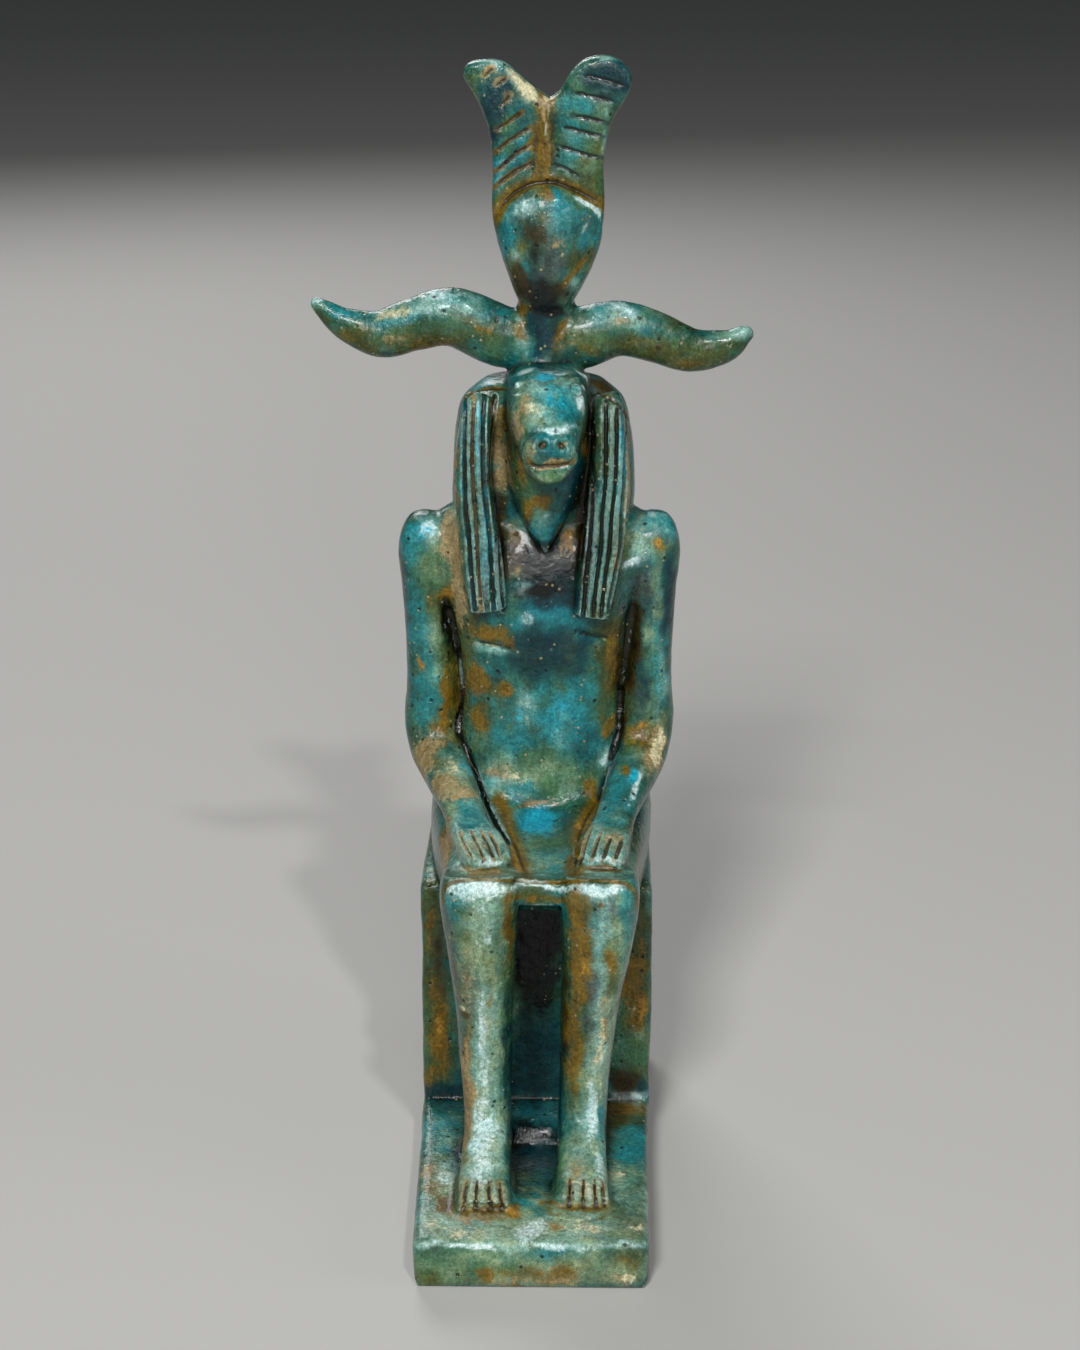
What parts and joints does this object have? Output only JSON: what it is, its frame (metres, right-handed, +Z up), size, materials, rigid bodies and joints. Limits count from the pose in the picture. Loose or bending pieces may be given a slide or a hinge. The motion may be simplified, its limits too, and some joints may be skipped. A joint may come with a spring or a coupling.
{
  "type": "egyptian god statue",
  "caption": "Seated ancient Egyptian god with an animal head, long wig, wavy horns, sun disc and double plume, on a block throne and base.",
  "frame": {"origin": "middle of the flat underside of the base", "axes": "+Z up, from the base to the plumes. The figure faces -Y, and +X is on its left hand."},
  "size_m": [0.132, 0.145, 0.3399],
  "materials": {
    "glazed_stone": "thick glossy turquoise glaze over carved stone, pale on the high points, deep teal where it pooled, with ochre and brown stains"
  },
  "bodies": {
    "root": {"god_statue": "glazed_stone"}
  },
  "joints": []
}
